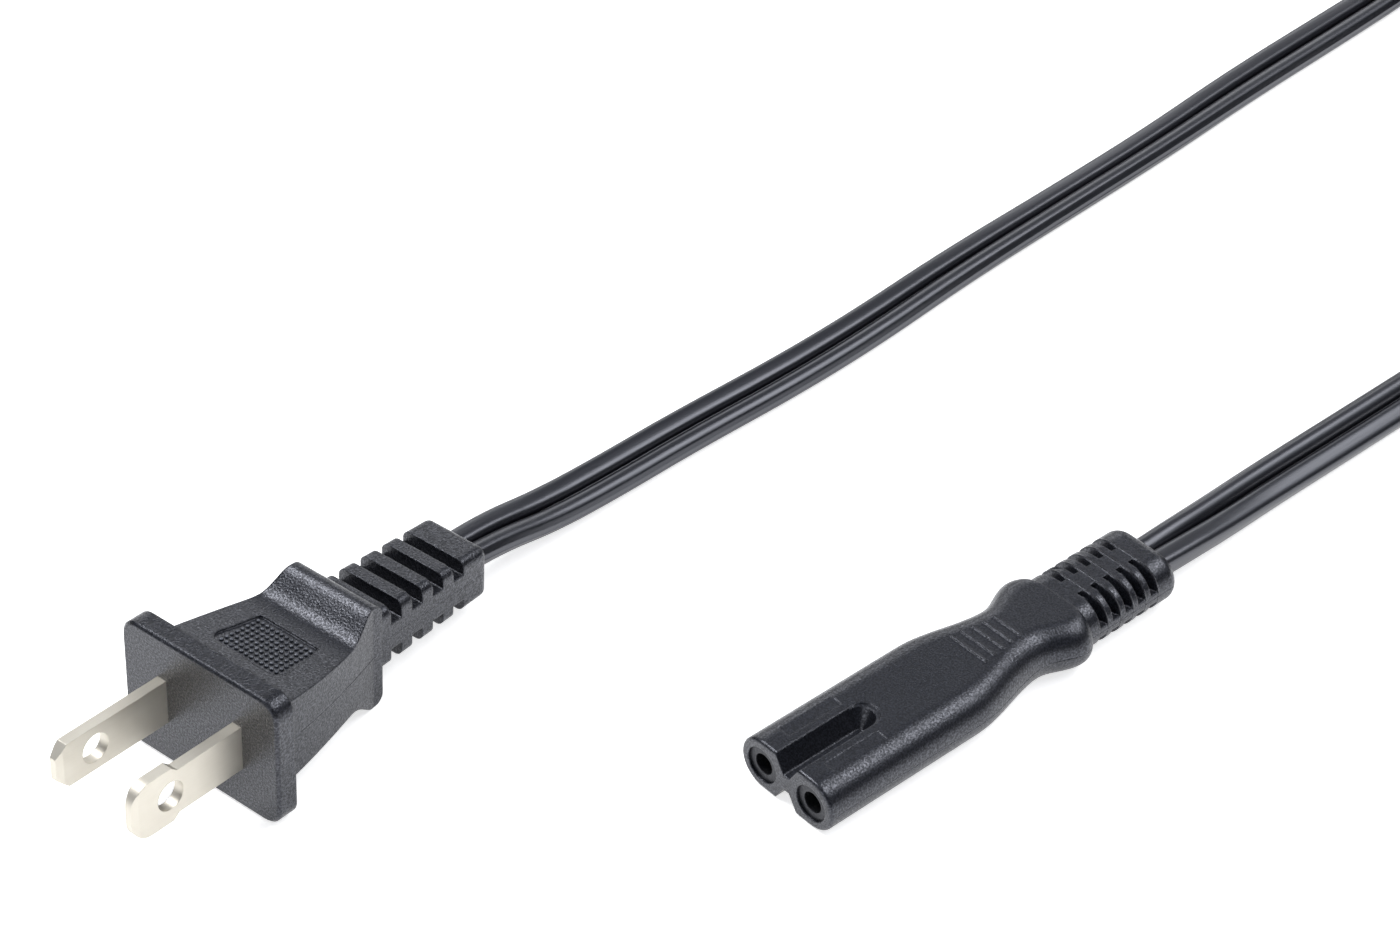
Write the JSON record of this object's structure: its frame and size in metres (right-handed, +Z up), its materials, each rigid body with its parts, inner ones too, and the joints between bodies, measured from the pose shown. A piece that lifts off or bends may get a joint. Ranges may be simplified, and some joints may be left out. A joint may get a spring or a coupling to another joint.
{
  "type": "figure eight power cord set",
  "caption": "Two-core power cord with a figure-eight appliance connector on one end and a polarised flat-blade mains plug on the other.",
  "frame": {"origin": "on the floor, under the middle of the connector that lies flat", "axes": "+Z up; the connector lies along Y with its pin holes towards -Y and its cord leaving towards +Y"},
  "size_m": [0.0871, 0.3637, 0.0188],
  "materials": {
    "moulded_pvc": "matte",
    "cord_pvc": "satin",
    "plated_brass": "satin",
    "copper_strand": "satin",
    "insert_nylon": "satin",
    "tie_strap": "matte"
  },
  "bodies": {
    "root": {"blade_bridge": "insert_nylon", "connector_conductor_left": "copper_strand", "connector_conductor_right": "copper_strand", "connector_cord_end": "cord_pvc", "connector_insert": "insert_nylon", "connector_overmould": "moulded_pvc", "contact_left": "plated_brass", "contact_right": "plated_brass", "cord_coil": "cord_pvc", "cord_run_connector": "cord_pvc", "cord_run_plug": "cord_pvc", "cord_tie": "tie_strap", "line_blade": "plated_brass", "neutral_blade": "plated_brass", "plug_conductor_line": "copper_strand", "plug_conductor_neutral": "copper_strand", "plug_cord_end": "cord_pvc", "plug_overmould": "moulded_pvc"}
  },
  "joints": []
}
